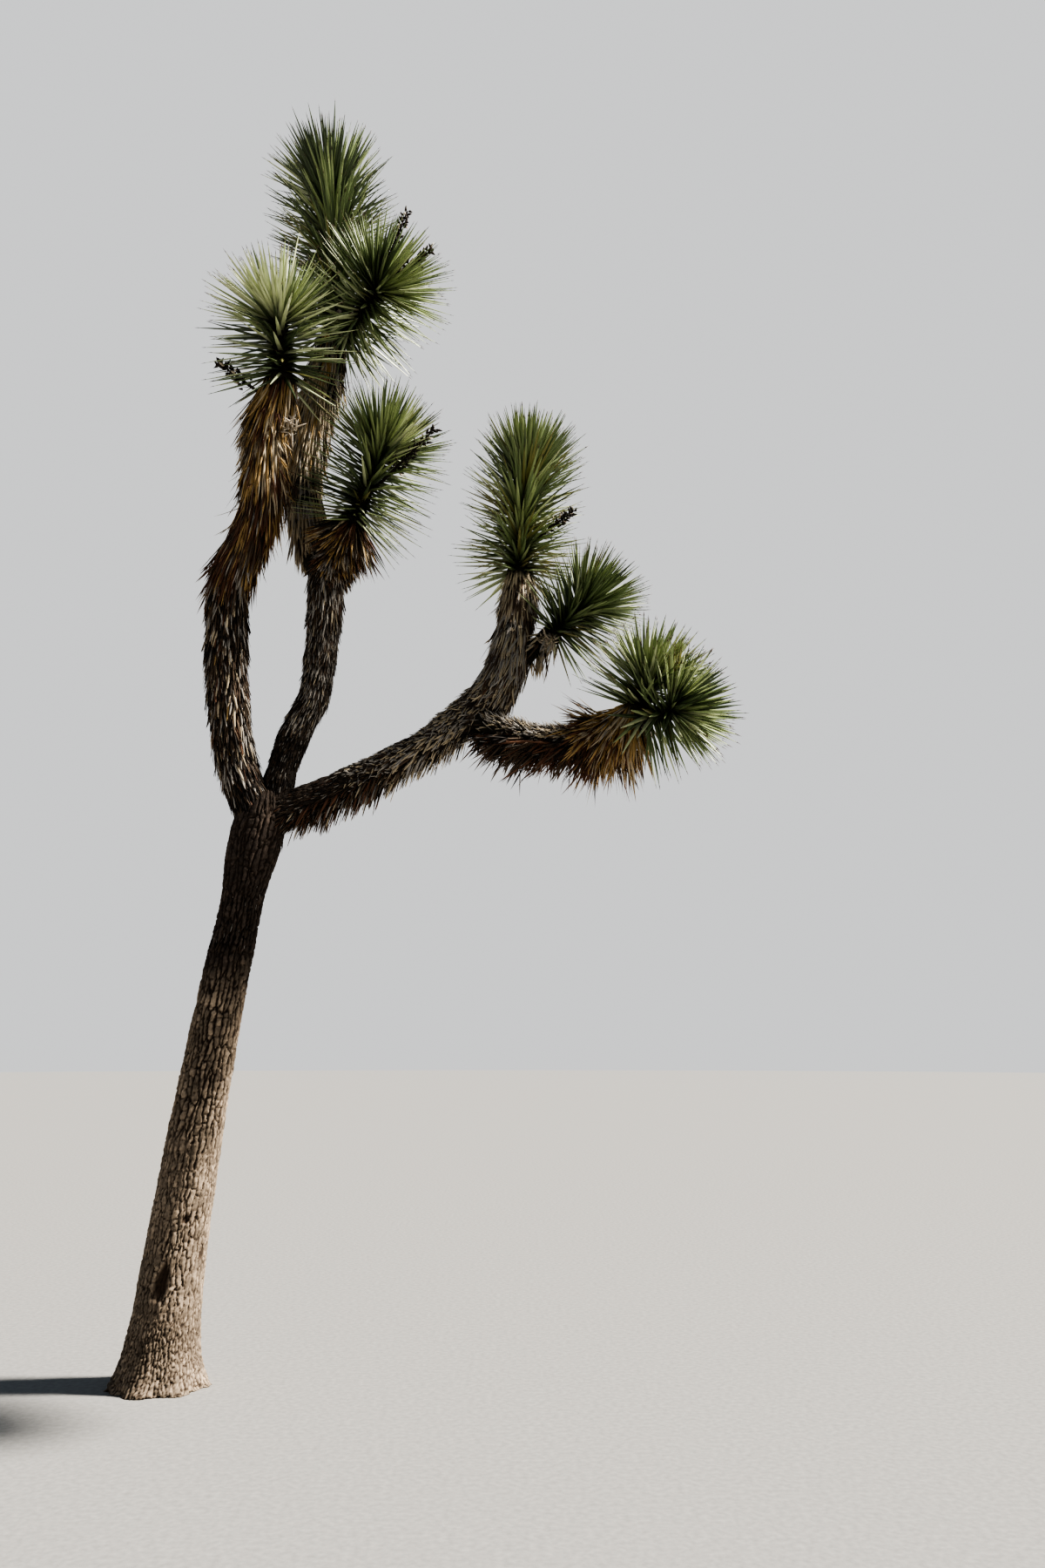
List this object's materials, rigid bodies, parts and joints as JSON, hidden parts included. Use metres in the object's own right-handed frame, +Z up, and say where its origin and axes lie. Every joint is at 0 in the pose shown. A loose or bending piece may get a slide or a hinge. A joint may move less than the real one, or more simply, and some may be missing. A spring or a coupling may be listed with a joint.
{
  "type": "joshua tree",
  "caption": "Forked desert tree: a leaning, flared trunk, thick crooked boughs, and rosettes of stiff dagger leaves above hanging skirts of dead leaves.",
  "frame": {"origin": "middle of the flat cut at ground level under the trunk", "axes": "+Z up, +X to the side that the trunk leans to and the long bough reaches to, +Y away from the viewer of the picture"},
  "size_m": [2.4817, 1.2316, 5.8595],
  "materials": {
    "bark": "dry cracked corky bark, tan at the foot and grey-brown above",
    "leaf": "waxy olive to yellow-green leaf",
    "dead_leaf": "dry straw, golden brown to grey"
  },
  "bodies": {
    "root": {"trunk": "bark", "bough_left_lower": "bark", "bough_left_upper": "bark", "bough_middle_lower": "bark", "bough_middle_upper": "bark", "bough_right": "bark", "bough_right_upper": "bark", "skirt_left_lower": "dead_leaf", "skirt_left_upper": "dead_leaf", "skirt_low": "dead_leaf", "skirt_leader_lower": "dead_leaf", "skirt_leader_upper": "dead_leaf", "skirt_tall": "dead_leaf", "skirt_right": "dead_leaf", "skirt_end": "dead_leaf", "skirt_side": "dead_leaf", "rosette_left": "leaf", "rosette_low": "leaf", "rosette_top": "leaf", "rosette_inner": "leaf", "rosette_tall": "leaf", "rosette_far": "leaf", "rosette_end": "leaf", "rosette_side": "leaf"}
  },
  "joints": []
}
